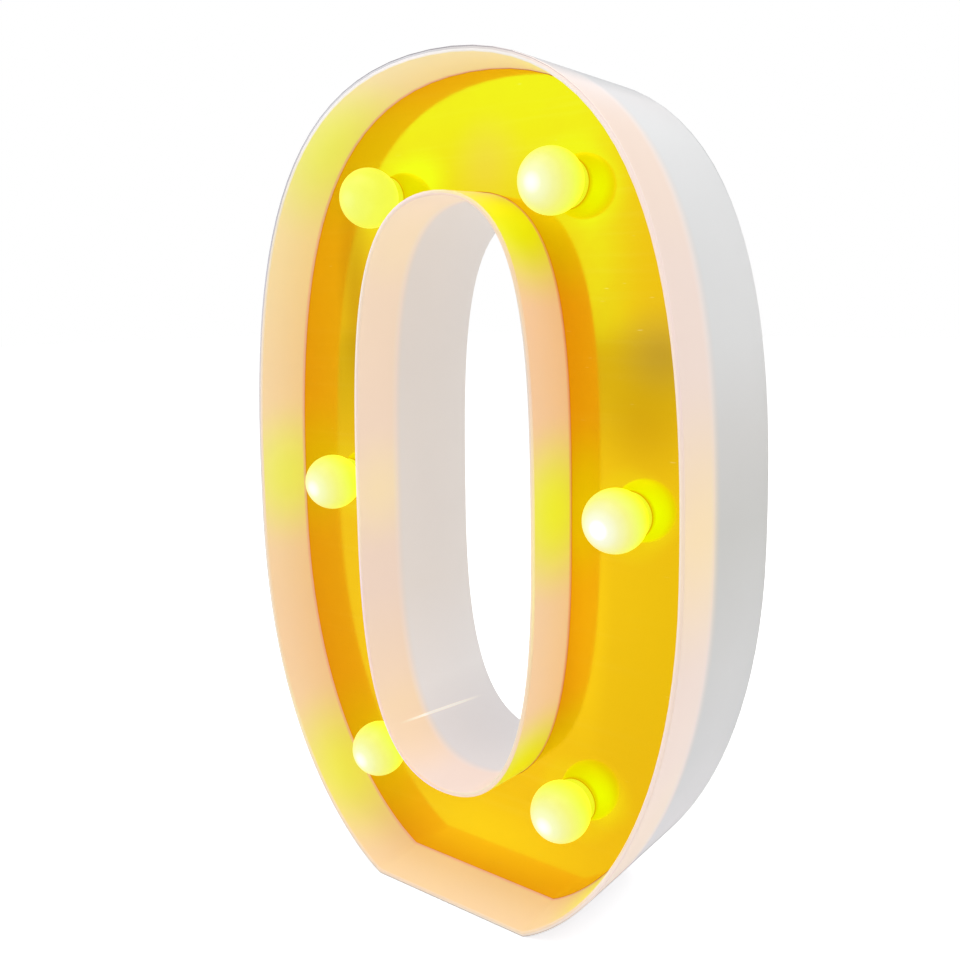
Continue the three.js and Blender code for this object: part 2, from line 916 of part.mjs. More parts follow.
// Materials
const finish = (color, roughness, metalness) => () =>
  new THREE.MeshStandardMaterial({ color, roughness, metalness });
const whitePlastic = finish(0xf3efe8, 0.4, 0);
const goldMirror = finish(0xeeb111, 0.15, 1);
const frostedWhite = finish(0xfff6c8, 0.5, 0);
const clearResin = finish(0xfff2b0, 0.2, 0);
const blackPlastic = finish(0x1c1c1e, 0.5, 0);
const steel = finish(0xb9bcc0, 0.35, 1);
const phenolic = finish(0x6b3f22, 0.6, 0);
const cellSleeve = finish(0x3a7a46, 0.35, 0);
const redSleeve = finish(0xb3261e, 0.5, 0);
const blackSleeve = finish(0x202022, 0.5, 0);

// Assembly
const light = new THREE.Group();

function place(name, solid, material) {
  const mesh = new THREE.Mesh(geometryOf(solid), material());
  mesh.name = name;
  light.add(mesh);
}

place("outer_wall", outerWall(), whitePlastic);
place("inner_wall", innerWall(), whitePlastic);
place("floor_web", floorWeb(), whitePlastic);
place("mirror_panel", mirrorPanel(), goldMirror);
globePlaces.forEach(({ name, place: at, across }) => {
  place(`globe_${name}`, globe(at), frostedWhite);
  place(`led_${name}`, led(at, across), clearResin);
  place(`led_holder_${name}`, ledHolder(at), whitePlastic);
});
place("back_cover", backCover(), whitePlastic);
screwPlaces.forEach((at, i) => place(`cover_screw_${i + 1}`, coverScrew(at), steel));
place("battery_tray", batteryTray(), whitePlastic);
place("battery_cell_outer", batteryCell(-1, -1), cellSleeve);
place("battery_cell_inner", batteryCell(1, 1), cellSleeve);
place("contact_positive", footContact(-1, false), steel);
place("contact_negative", footContact(1, true), steel);
place("contact_bridge", contactBridge(), steel);
place("battery_door", batteryDoor(), whitePlastic);
place("switch_frame", switchFrame(), steel);
place("switch_base", switchBase(), phenolic);
place("switch_slider", switchSlider(), blackPlastic);
switchScrewHeights().forEach((z, i) => place(`switch_screw_${i + 1}`, switchScrew(z), steel));
place("lead_positive", leadToLeds(pinPoint(-1), -1), redSleeve);
place("lead_negative", leadToLeds(tabPoint(1), 1), blackSleeve);
place("lead_switch", lead([...tabPoint(-1), ...pinPoint(1).reverse()], shortLeadSteps), redSleeve);

export default light;
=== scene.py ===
from math import radians

import bpy
from mathutils import Matrix, Vector


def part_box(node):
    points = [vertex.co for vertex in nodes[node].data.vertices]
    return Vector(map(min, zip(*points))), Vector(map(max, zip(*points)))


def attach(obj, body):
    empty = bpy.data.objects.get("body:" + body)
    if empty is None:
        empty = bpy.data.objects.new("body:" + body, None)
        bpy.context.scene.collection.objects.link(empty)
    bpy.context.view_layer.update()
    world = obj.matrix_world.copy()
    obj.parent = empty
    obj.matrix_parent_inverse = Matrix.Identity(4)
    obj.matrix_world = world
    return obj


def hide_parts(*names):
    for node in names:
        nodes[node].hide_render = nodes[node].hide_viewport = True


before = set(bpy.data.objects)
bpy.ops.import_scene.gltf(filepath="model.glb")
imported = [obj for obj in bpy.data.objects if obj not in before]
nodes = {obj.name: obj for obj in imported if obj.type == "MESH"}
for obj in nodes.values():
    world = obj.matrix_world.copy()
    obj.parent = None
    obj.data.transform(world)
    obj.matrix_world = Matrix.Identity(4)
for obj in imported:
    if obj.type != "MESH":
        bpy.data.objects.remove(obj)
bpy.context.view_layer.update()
scene = bpy.context.scene

# Camera
# It stands close by, a little to the numeral's right and above its middle, and looks slightly down
# at the open front. No cord shows, so there is none to lay out.
camera_place = (0.16122, -0.212321, 0.161184)
camera_turn = 36.88
camera_down = 9.987
camera_roll = -0.592
bpy.ops.object.camera_add(location=camera_place)
camera = bpy.context.object
camera.name = "camera"
turn = Matrix.Rotation(radians(camera_turn), 4, "Z")
tilt = Matrix.Rotation(radians(90 - camera_down), 4, "X")
roll = Matrix.Rotation(radians(camera_roll), 4, "Z")
camera.rotation_euler = (turn @ tilt @ roll).to_euler()
camera.data.sensor_width = 36
camera.data.lens = 37.46
camera.data.shift_x = -0.02
camera.data.shift_y = -0.0015
scene.camera = camera

# Studio
# A plain white card floor with soft light all round, a broad lamp above in front and one above
# on the right. A pale green window in front on the left, with a bright strip at its side, shows
# only in what is glossy, above all the gold mirror.
scene.view_settings.view_transform = "Standard"
white = (1, 1, 1, 1)
air_light = 0.66
window_toward = Vector((-0.62, -0.77, 0.2)).normalized()
window_reach = (0.3, 0.42)
window_rise = (0, 0.2)
window_side = (-0.515, -0.47)
window_colour = (1.03, 1.66, 1.5, 1)
strip_middle = -0.52
strip_half_width = (0.008, 0.026)
strip_foot = (-0.14, -0.02)
strip_head = (0.2, 0.3)
card_colour = (0.86, 0.86, 0.86, 1)
card_lift_near = 0.66
card_lift_far = 0.5
card_lift_mirrored = 0.2


def add_node(tree, kind, inputs=(), **settings):
    """Adds a node to a finish, sets it up, and gives its outputs."""
    made = tree.nodes.new("ShaderNode" + kind)
    for setting, value in settings.items():
        setattr(made, setting, value)
    for socket, value in dict(inputs).items():
        if isinstance(value, bpy.types.NodeSocket):
            tree.links.new(value, made.inputs[socket])
        else:
            made.inputs[socket].default_value = value
    return made.outputs


def reckon(tree, operation, first, second=0.0):
    return add_node(tree, "Math", {0: first, 1: second}, operation=operation)[0]


def product(tree, first, *others):
    for other in others:
        first = reckon(tree, "MULTIPLY", first, other)
    return first


def apart(tree, value, middle):
    """How far a value is from a middle one, to either side."""
    return reckon(tree, "ABSOLUTE", reckon(tree, "SUBTRACT", value, middle))


def distance(tree, first, second=(0, 0, 0)):
    return add_node(tree, "VectorMath", {0: first, 1: second}, operation="DISTANCE")["Value"]


def axes(tree, vector):
    return add_node(tree, "SeparateXYZ", {0: vector})


def ranged(tree, value, start, end, to_start, to_end, easing="SMOOTHSTEP"):
    """Goes from one result to another, and no further, as the value goes from start to end."""
    spans = {"Value": value, "From Min": start, "From Max": end, "To Min": to_start, "To Max": to_end}
    return add_node(tree, "MapRange", spans, interpolation_type=easing)[0]


def blend_colour(tree, share, first, second):
    """The first colour, with a share of the second. Sockets 6 and 7 are the node's colours."""
    return add_node(tree, "Mix", {0: share, 6: first, 7: second}, data_type="RGBA")[2]


def in_view(tree, path):
    """Whether a ray sees the background, straight on or through something clear."""
    return reckon(tree, "MAXIMUM", path["Is Camera Ray"], path["Is Transmission Ray"])


world = bpy.data.worlds.new("studio_air")
scene.world = world
world.use_nodes = True
air = world.node_tree
path = add_node(air, "LightPath")
shown = reckon(air, "MAXIMUM", in_view(air, path), path["Is Glossy Ray"])
strength = ranged(air, shown, 0, 1, air_light, 1, "LINEAR")
toward = add_node(air, "TexCoord")["Generated"]
ray = axes(air, toward)
window = product(
    air,
    ranged(air, distance(air, toward, window_toward), *window_reach, 1, 0),
    ranged(air, ray["Z"], *window_rise, 0, 1),
    ranged(air, ray["X"], *window_side, 1, 0),
)
strip = product(
    air,
    ranged(air, apart(air, ray["X"], strip_middle), *strip_half_width, 1, 0),
    ranged(air, ray["Z"], *strip_foot, 0, 1),
    ranged(air, ray["Z"], *strip_head, 1, 0),
)
bright = product(air, reckon(air, "MAXIMUM", window, strip), path["Is Glossy Ray"])
sky = blend_colour(air, bright, white, window_colour)
air.links.new(sky, air.nodes["Background"].inputs["Color"])
air.links.new(strength, air.nodes["Background"].inputs["Strength"])

bpy.ops.mesh.primitive_plane_add(size=8, location=(0, 0, -0.00005))
card = bpy.context.object
card.name = "card_floor"
card_finish = bpy.data.materials.new("card")
card_finish.use_nodes = True
tree = card_finish.node_tree
tree.nodes.remove(tree.nodes["Principled BSDF"])
matte = add_node(tree, "BsdfDiffuse", {"Color": card_colour})[0]
path = add_node(tree, "LightPath")
from_middle = distance(tree, add_node(tree, "TexCoord")["Object"])
lift = product(tree, in_view(tree, path), ranged(tree, from_middle, 0.3, 1, card_lift_near, card_lift_far))
lift = reckon(tree, "ADD", lift, product(tree, path["Is Glossy Ray"], card_lift_mirrored))
lifted = add_node(tree, "Emission", {"Color": white, "Strength": lift})[0]
both = add_node(tree, "AddShader", {0: matte, 1: lifted})[0]
tree.links.new(both, tree.nodes["Material Output"].inputs["Surface"])
card.data.materials.append(card_finish)


def add_lamp(name, place, size, power, aim=(0, 0, 0.1)):
    bpy.ops.object.light_add(type="AREA", location=place)
    lamp = bpy.context.object
    lamp.name = name
    lamp.rotation_euler = (Vector(aim) - Vector(place)).to_track_quat("-Z", "Y").to_euler()
    lamp.data.shape = "SQUARE"
    lamp.data.size = size
    lamp.data.energy = power


add_lamp("lamp_above", place=(-0.2, -0.5, 1.1), size=0.8, power=3.8)
add_lamp("lamp_right", place=(0.6, -0.1, 1.2), size=0.7, power=2.4)

# Outer wall
# The outside of the white plastic channel, moulded as one closed band that follows the numeral.
# It is thin and rounded at the open front, and thickens towards the ledge that carries the mirror.
# The lamps' warm light that comes through it in front of the mirror is painted into its colour and glow.
MM = 0.001
half_depth = 23
numeral_middle = 107
# Each corner has its place, and the ends of the curves that come to it and leave it.
outer_corners = [
    ((25.1, 0), (8, 0), (35.455, 4.697)),
    ((68.5, 99.9), (68.5, 29.77), (68.5, 153.465)),
    ((0, 220), (64.527, 220), (-64.527, 220)),
    ((-68.5, 99.9), (-68.5, 153.465), (-68.5, 29.77)),
    ((-25.1, 0), (-35.455, 4.697), (-8, 0)),
]
# Each point of a wall's section is so far in from the outline, and so deep behind the open rim.
outer_section = [(0, 0), (0, 46), (1.6, 46), (1.6, 16.2), (2.6, 16.2), (1.4, 0), (0.8, 0)]
outline_steps = 28
wall_rounding = 0.35
globe_places = [(28.779, 188.597), (46.639, 110.984), (31.605, 33.491)]
globe_depth = 8.076
mirror_depth = 15.18
rim_land = (0.05, 0.4)
rim_side_blend = 8
cloud_tint = (0.42, 0.4, 0.42, 1)
cloud_share = 0.07


def at_depth(depth):
    """Where a depth in millimetres behind the open rim lies, from front to back."""
    return (depth - half_depth) * MM


def select_only(*pieces):
    bpy.ops.object.select_all(action="DESELECT")
    for piece in pieces:
        piece.select_set(True)
    bpy.context.view_layer.objects.active = pieces[0]


def settle(piece, name):
    """Names a piece and moves its place, turn and scale into its mesh."""
    select_only(piece)
    bpy.ops.object.transform_apply(location=True, rotation=True, scale=True)
    piece.name = piece.data.name = name
    return piece


def clean_mesh(piece, gap=0.00001):
    select_only(piece)
    bpy.ops.object.mode_set(mode="EDIT")
    bpy.ops.mesh.select_all(action="SELECT")
    bpy.ops.mesh.remove_doubles(threshold=gap)
    bpy.ops.mesh.normals_make_consistent(inside=False)
    bpy.ops.object.mode_set(mode="OBJECT")


def round_edges(piece, width, segments=2, angle=50):
    select_only(piece)
    bpy.ops.object.modifier_add(type="BEVEL")
    rounding = piece.modifiers[-1]
    rounding.width = width * MM
    rounding.segments = segments
    rounding.limit_method = "ANGLE"
    rounding.angle_limit = radians(angle)
    bpy.ops.object.modifier_apply(modifier=rounding.name)


def smooth(piece, angle=35):
    select_only(piece)
    bpy.ops.object.shade_smooth_by_angle(angle=radians(angle))


def outline_curve(corners):
    bpy.ops.curve.primitive_bezier_circle_add()
    outline = bpy.context.object
    outline.data.dimensions = "2D"
    outline.data.fill_mode = "NONE"
    outline.data.resolution_u = outline_steps
    points = outline.data.splines[0].bezier_points
    points.add(len(corners) - len(points))
    for point, (place, before, after) in zip(points, corners):
        point.handle_left_type = point.handle_right_type = "FREE"
        point.co = (*(value * MM for value in place), 0)
        point.handle_left = (*(value * MM for value in before), 0)
        point.handle_right = (*(value * MM for value in after), 0)
    return outline


def sweep(name, corners, section, closed=True):
    """A wall, or an open band, whose section is carried round an outline."""
    outline = outline_curve(corners)
    bpy.ops.curve.primitive_bezier_circle_add()
    profile = bpy.context.object
    profile.data.dimensions = "2D"
    profile.data.splines.clear()
    line = profile.data.splines.new("POLY")
    line.points.add(len(section) - 1)
    for point, (inset, depth) in zip(line.points, section):
        point.co = (inset * MM, (half_depth - depth) * MM, 0, 1)
    line.use_cyclic_u = closed
    outline.data.bevel_mode = "OBJECT"
    outline.data.bevel_object = profile
    outline.rotation_euler = (radians(90), 0, 0)
    select_only(outline)
    bpy.ops.object.convert(target="MESH")
    bpy.data.objects.remove(profile)
    return settle(bpy.context.object, name)


def linear(red, green, blue):
    """A colour as it is seen, in steps of 255, turned into shares of light."""
    shares = (value / 255 for value in (red, green, blue))
    return (*(s / 12.92 if s <= 0.04045 else ((s + 0.055) / 1.055) ** 2.4 for s in shares), 1)


def new_finish(name):
    """A finish, its tree, its shader, and the place on the piece that its patterns follow."""
    finish = bpy.data.materials.new(name)
    finish.use_nodes = True
    tree = finish.node_tree
    return finish, tree, tree.nodes["Principled BSDF"], add_node(tree, "TexCoord")["Object"]


def mottle(tree, place, scale, detail=2.0, roughness=0.5):
    """Soft uneven patches, finer as the scale rises."""
    patches = {"Vector": place, "Scale": scale, "Detail": detail, "Roughness": roughness}
    return add_node(tree, "TexNoise", patches)["Fac"]


def raise_grain(tree, shader, grain, strength, height):
    bump = add_node(tree, "Bump", {"Height": grain, "Strength": strength, "Distance": height * MM})[0]
    tree.links.new(bump, shader.inputs["Normal"])


def globe_middle(x, z):
    return Vector((x * MM, at_depth(globe_depth), z * MM))


def from_globe(tree, place):
    """How far a place is from the middle of the nearest globe; both sides are alike."""
    split = axes(tree, place)
    across = reckon(tree, "ABSOLUTE", split["X"])
    folded = add_node(tree, "CombineXYZ", {"X": across, "Y": split["Y"], "Z": split["Z"]})[0]
    nearest = None
    for x, z in globe_places:
        away = distance(tree, folded, globe_middle(x, z))
        nearest = away if nearest is None else reckon(tree, "MINIMUM", nearest, away)
    return nearest


def colour_run(tree, share, stops):
    """Colours that run into each other as a share goes from 0 to 1."""
    made = tree.nodes.new("ShaderNodeValToRGB")
    tree.links.new(share, made.inputs["Fac"])
    run = made.color_ramp.elements
    run[0].color = stops[0][1]
    run[1].color = stops[-1][1]
    for stand, colour in stops[1:-1]:
        run.new(stand).color = colour
    return made.outputs["Color"]


def colour_up(tree, height, stops):
    """Colours up the numeral, each with the millimetre it stands at."""
    start, end = stops[0][0], stops[-1][0]
    share = ranged(tree, height, start * MM, end * MM, 0, 1, "LINEAR")
    shares = [((stand - start) / (end - start), linear(*colour)) for stand, colour in stops]
    return colour_run(tree, share, shares)


def plastic(name, lit, glow, unlit, rim, near, reach, boundary, self_light, back_light=0.0):
    """White plastic with the lamps' light painted into its colour and its own glow in front of the mirror.

    Each colour is a run up the height, and the rim has one for the left side and one for the right.
    The runs are painted light and shade: lit is painted light through the wall, unlit is painted shade,
    and the rim's runs paint each side lighter or darker. The painted glow fades from near to reach
    round each globe, and the painted light ends at the boundary's depths. Its own glow, self_light
    in front and back_light behind, is painted light as well.
    """
    finish, tree, shader, place = new_finish(name)
    split = axes(tree, place)
    up = split["Z"]
    front = ranged(tree, split["Y"], *(at_depth(depth) for depth in boundary), 1, 0)
    near_globe = ranged(tree, from_globe(tree, place), near * MM, reach * MM, 1, 0)
    warm = blend_colour(tree, near_globe, colour_up(tree, up, lit), colour_up(tree, up, glow))
    colour = blend_colour(tree, front, colour_up(tree, up, unlit), warm)
    at_rim = ranged(tree, split["Y"], *(at_depth(depth) for depth in rim_land), 1, 0)
    on_right = ranged(tree, split["X"], -rim_side_blend * MM, rim_side_blend * MM, 0, 1)
    rim_colour = blend_colour(tree, on_right, *(colour_up(tree, up, side) for side in rim))
    colour = blend_colour(tree, at_rim, colour, rim_colour)
    cloud = mottle(tree, place, 22, 3)
    clouded = blend_colour(tree, ranged(tree, cloud, 0, 1, 0, cloud_share), colour, cloud_tint)
    tree.links.new(clouded, shader.inputs["Base Color"])
    tree.links.new(colour, shader.inputs["Emission Color"])
    own_light = ranged(tree, front, 0, 1, back_light, self_light)
    tree.links.new(own_light, shader.inputs["Emission Strength"])
    tree.links.new(ranged(tree, cloud, 0, 1, 0.32, 0.46), shader.inputs["Roughness"])
    raise_grain(tree, shader, mottle(tree, place, 2600), strength=0.06, height=0.04)
    return finish


# Painted light: the lamps' light through the channel's outer wall, the lemon glow beside the globes, rim
# colours for each side, and its own glow.
outer_channel_plastic = plastic(
    "outer_channel_plastic",
    lit=[
        (0, (224, 194, 160)), (60, (229, 200, 170)), (140, (232, 209, 174)),
        (180, (236, 218, 172)), (220, (232, 218, 184)),
    ],
    glow=[(0, (215, 218, 14)), (110, (218, 237, 4)), (220, (223, 238, 58))],
    unlit=[(0, (225, 200, 180)), (220, (225, 200, 180))],
    rim=(
        [
            (0, (223, 196, 170)), (36, (225, 208, 160)), (60, (222, 194, 157)),
            (126, (224, 203, 179)), (185, (222, 212, 192)), (206, (234, 228, 227)),
        ],
        [
            (14, (223, 198, 169)), (25, (228, 214, 201)), (35, (225, 203, 180)), (50, (222, 205, 200)),
            (110, (226, 209, 187)), (185, (228, 206, 192)), (220, (227, 223, 220)),
        ],
    ),
    near=12,
    reach=31,
    boundary=(15.2, 16.2),
    self_light=0.36,
)
# Painted light and shade: the lit band in front of the mirror, the glow beside the globes, shade that changes
# up the unlit outside, lighter and darker rim sides, and its own glow.
shell_plastic = plastic(
    "shell_plastic",
    lit=[(0, (238, 220, 212)), (100, (231, 210, 198)), (190, (229, 209, 198)), (220, (225, 206, 199))],
    glow=[(0, (238, 218, 208)), (110, (246, 218, 162)), (188, (230, 207, 188)), (220, (223, 204, 193))],
    unlit=[
        (0, (255, 253, 255)), (24, (250, 247, 250)), (52, (230, 230, 231)), (108, (219, 218, 214)),
        (130, (228, 226, 223)), (152, (236, 236, 235)), (220, (242, 243, 244)),
    ],
    rim=(
        [
            (20, (226, 205, 188)), (36, (236, 219, 190)), (79, (230, 215, 197)), (155, (207, 198, 199)),
            (174, (188, 183, 192)), (195, (186, 181, 185)), (210, (206, 203, 206)),
        ],
        [
            (0, (226, 210, 196)), (20, (236, 218, 208)), (80, (228, 206, 192)), (110, (232, 209, 182)),
            (140, (228, 206, 198)), (212, (241, 222, 211)), (220, (200, 196, 197)),
        ],
    ),
    near=12,
    reach=42,
    boundary=(12.2, 18.6),
    self_light=0.26,
)


def place_on(tree):
    return axes(tree, add_node(tree, "TexCoord")["Object"])


def slope_of(tree, kind="Normal"):
    return axes(tree, add_node(tree, "NewGeometry")[kind])


def ledge_shade(tree):
    """A thin shade where the mirror meets the wall."""
    shade_start, shade_end = at_depth(mirror_depth - 0.9), at_depth(mirror_depth - 0.4)
    return ranged(tree, place_on(tree)["Y"], shade_start, shade_end, 0, 0.7)


def rim_edge_shade(tree):
    """Painted shade on the rounding at the rim's outer side, which turns away from the light."""
    slope = slope_of(tree, "True Normal")
    turned_away = ranged(tree, slope["Y"], -0.99, -0.95, 0, 1)
    at_rim = ranged(tree, place_on(tree)["Y"], at_depth(0.3), at_depth(0.5), 1, 0)
    return product(tree, turned_away, at_rim, ranged(tree, slope["X"], 0, 0.3, 1, 0))


def underside(tree):
    """Painted shade on the shell's underside beside the foot."""
    return ranged(tree, slope_of(tree)["Z"], -0.64, -0.54, 0.8, 0)


def crown(tree):
    """Painted shade on the crown, which the lamps inside reach least."""
    return ranged(tree, slope_of(tree)["Z"], 0.6, 0.92, 0, 0.7)


def crown_shoulder_shade(tree):
    """Painted shade on the crown's right shoulder, where the outside turns from the top to the side."""
    slope = slope_of(tree)
    turned_up = ranged(tree, slope["Z"], 0.78, 0.93, 0, 0.65)
    return product(tree, turned_up, ranged(tree, slope["X"], 0.2, 0.34, 0, 1))


def back_corner_shade(tree):
    """Painted shade on the corner round the cover at the crown."""
    split = place_on(tree)
    at_back = ranged(tree, split["Y"], at_depth(45), at_depth(45.5), 0, 0.7)
    return product(tree, at_back, ranged(tree, split["Z"], 176 * MM, 200 * MM, 0, 1))


def tint(finish, share_of, colour, dims=False):
    """Lays one more colour over a finish where the share says, and can take its own light away there."""
    tree = finish.node_tree
    shader = tree.nodes["Principled BSDF"]
    share = share_of(tree)
    for socket in ("Base Color", "Emission Color"):
        under = shader.inputs[socket].links[0].from_socket
        tree.links.new(blend_colour(tree, share, under, linear(*colour)), shader.inputs[socket])
    if dims:
        own_light = shader.inputs["Emission Strength"]
        left = ranged(tree, share, 0, 1, 1, 0, "LINEAR")
        tree.links.new(product(tree, own_light.links[0].from_socket, left), own_light)


# Painted shade: a thin line where the mirror meets the wall, and on the shell the rim's outer rounding, the
# underside, the crown, the right shoulder and the back corner.
tint(outer_channel_plastic, ledge_shade, (226, 176, 160))
tint(shell_plastic, rim_edge_shade, (120, 112, 122), dims=True)
tint(shell_plastic, underside, (150, 140, 145), dims=True)
tint(shell_plastic, crown, (226, 220, 221))
tint(shell_plastic, crown_shoulder_shade, (156, 163, 167), dims=True)
tint(shell_plastic, back_corner_shade, (140, 146, 150), dims=True)


def finish_walls(piece, shell_finish, channel_finish, towards_channel):
    """One finish all over, and the channel's on the side towards it and the half of the rim beside."""
    piece.data.materials.append(shell_finish)
    piece.data.materials.append(channel_finish)
    channel_side = set()
    square_on = -0.999
    for face in piece.data.polygons:
        outward = Vector((face.center.x, 0, face.center.z - numeral_middle * MM))
        faces_channel = face.normal.dot(outward) * towards_channel > 0
        if face.center.y < 0 and faces_channel and face.normal.y > square_on:
            face.material_index = 1
            channel_side.update(face.vertices)
    for face in piece.data.polygons:
        if face.normal.y < square_on and not channel_side.isdisjoint(face.vertices):
            face.material_index = 1


outer_wall = sweep("wall_outside", outer_corners, outer_section)
clean_mesh(outer_wall)
round_edges(outer_wall, wall_rounding, segments=3, angle=35)
smooth(outer_wall, 40)
finish_walls(outer_wall, shell_plastic, outer_channel_plastic, towards_channel=-1)
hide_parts("outer_wall")
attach(outer_wall, "lamp")

# Inner wall
# The wall round the numeral's hole, moulded in one with the outside. It is thinner, and its front,
# with the lamps' light painted into its colour and glow, shows from the hole as well as from the channel.
opening_corners = [
    ((0, 32.2), (-26.048, 32.2), (26.048, 32.2)),
    ((29.4, 99.9), (29.4, 67.2), (29.4, 149.677)),
    ((0, 188), (29.341, 188), (-29.341, 188)),
    ((-29.4, 99.9), (-29.4, 149.677), (-29.4, 67.2)),
]
inner_section = [(0, 0), (-0.6, 16.2), (0, 16.2), (0, 46), (1.25, 46), (1.25, 0), (0.65, 0)]
# Where the painted highlight along the mould seam lies.
seam_height = 44.06
seam_slope = 0.08
seam_side = -19
seam_middle = -1
inner_wall = sweep("wall_of_hole", opening_corners, inner_section)
clean_mesh(inner_wall)
round_edges(inner_wall, wall_rounding, segments=3, angle=35)
smooth(inner_wall, 40)

# Painted light: the lamps' light through the inner wall's channel side, the lemon glow beside the globes, rim
# colours for each side, and its own glow.
inner_channel_plastic = plastic(
    "inner_channel_plastic",
    lit=[(30, (232, 202, 174)), (80, (232, 203, 174)), (130, (231, 196, 166)), (190, (230, 194, 162))],
    glow=[(30, (218, 218, 12)), (110, (222, 228, 10)), (190, (218, 217, 0))],
    unlit=[(30, (225, 200, 180)), (190, (225, 200, 180))],
    rim=(
        [
            (32, (226, 200, 210)), (57, (230, 204, 192)), (83, (223, 204, 216)),
            (109, (234, 213, 198)), (160, (229, 216, 206)), (188, (231, 208, 207)),
        ],
        [
            (32, (229, 204, 184)), (71, (222, 195, 158)), (92, (229, 213, 151)), (113, (230, 211, 156)),
            (140, (221, 194, 172)), (168, (222, 193, 153)), (188, (228, 210, 156)),
        ],
    ),
    near=14,
    reach=30,
    boundary=(15.2, 16.2),
    self_light=0.36,
)
# Painted light and shade: the hole's lit front, its glow beside the globes, shade that changes up the unlit
# part, and its own glow, which reaches behind the mirror too.
hole_plastic = plastic(
    "hole_plastic",
    lit=[
        (30, (218, 200, 194)), (50, (232, 206, 176)), (83, (226, 204, 188)),
        (134, (231, 208, 187)), (190, (236, 214, 188)),
    ],
    glow=[(30, (230, 200, 168)), (110, (242, 222, 160)), (190, (237, 216, 186))],
    unlit=[
        (30, (214, 210, 212)), (52, (232, 229, 228)), (80, (230, 224, 219)),
        (150, (229, 223, 218)), (190, (231, 225, 220)),
    ],
    rim=(
        [
            (32, (232, 199, 176)), (83, (222, 198, 186)), (109, (230, 212, 177)), (134, (224, 200, 186)),
            (160, (222, 203, 182)), (178, (231, 210, 182)), (188, (219, 199, 190)),
        ],
        [
            (38, (222, 206, 183)), (71, (223, 203, 178)), (102, (231, 208, 174)), (134, (214, 199, 188)),
            (152, (212, 199, 186)), (168, (224, 199, 168)), (188, (232, 206, 188)),
        ],
    ),
    near=10,
    reach=27,
    boundary=(13, 17.6),
    self_light=0.32,
    back_light=0.16,
)


def seam_highlight(tree):
    """A painted highlight along the mould seam: a bright line along the depth low on the left, where the
    mould's halves met.
    """
    split = place_on(tree)
    tilted = reckon(tree, "ADD", split["Z"], product(tree, split["Y"], seam_slope))
    thin = ranged(tree, apart(tree, tilted, seam_height * MM), 0.1 * MM, 0.45 * MM, 1, 0)
    on_left = ranged(tree, apart(tree, split["X"], seam_side * MM), 4 * MM, 6 * MM, 1, 0)
    along = ranged(tree, apart(tree, split["Y"], seam_middle * MM), 4 * MM, 19 * MM, 0.9, 0)
    return product(tree, thin, on_left, along)


tint(inner_channel_plastic, ledge_shade, (226, 160, 110))
# A painted highlight along the mould seam on the hole's wall.
tint(hole_plastic, seam_highlight, (255, 250, 238))
finish_walls(inner_wall, hole_plastic, inner_channel_plastic, towards_channel=1)
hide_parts("inner_wall")
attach(inner_wall, "lamp")

# Floor web
# The moulded floor behind the mirror, with the posts that the cover's screws go into. It stays
# out of sight inside the shell, in the same white plastic.
inside_plastic, tree, shader, place = new_finish("inside_plastic")
inside_colour = blend_colour(tree, mottle(tree, place, 60, 4), linear(236, 235, 233), linear(218, 217, 217))
tree.links.new(inside_colour, shader.inputs["Base Color"])
raise_grain(tree, shader, mottle(tree, place, 2200), strength=0.1, height=0.05)
shader.inputs["Roughness"].default_value = 0.5


def coat(piece, finish):
    piece.data.materials.clear()
    piece.data.materials.append(finish)


coat(nodes["floor_web"], inside_plastic)

# Mirror
# A gold mirror sheet, cut to the channel with a hole for each globe's neck, laid on the floor's
# ledge. It has fine scratches and faint smears from handling, a painted lemon glow and painted
# reflections of the globes beside them, and a painted shadow ring round each collar.
mirror_inset = 2.6
opening_inset = -0.62
neck_hole = 5.45
mirror_back = 16.18
collar_shadow_ring = 9.3
# Patches: some make the gilding paler or darker, an olive stain among them, and some are painted
# light, the lemon ones painted reflections of the globes and the brightest gold ones painted
# reflected light near the hole and at the foot. Each has its middle, its half width and half height,
# how much of its colour it has in the middle, and the colour.
gilding_tone_and_painted_light = [
    (64, 84, 36, 84, 1, (230, 186, 17)),
    (50, 44, 34, 50, 0.7, (228, 182, 18)),
    (34, 90, 9, 52, 0.7, (255, 214, 24)),
    (2, 14, 44, 18, 0.8, (250, 214, 26)),
    (54, 150, 15, 14, 0.5, (196, 156, 62)),
    (5, 196, 14, 14, 0.45, (240, 176, 70)),
    (-42, 166, 9, 36, 0.7, (204, 152, 14)),
    (-18, 192, 14, 11, 0.8, (246, 236, 20)),
    (50, 132, 16, 16, 0.5, (212, 158, 14)),
    (37, 186.5, 10, 10, 0.6, (246, 238, 20)),
    (52, 112, 10, 10, 0.6, (246, 238, 20)),
    (39, 37, 11, 11, 0.75, (246, 238, 20)),
]


def select_faces(piece, wanted):
    """Leaves the piece in edit mode with the wanted faces selected."""
    select_only(piece)
    bpy.ops.object.mode_set(mode="EDIT")
    bpy.ops.mesh.select_mode(type="FACE")
    bpy.ops.mesh.select_all(action="DESELECT")
    bpy.ops.object.mode_set(mode="OBJECT")
    for face in piece.data.polygons:
        face.select = wanted(face)
    bpy.ops.object.mode_set(mode="EDIT")


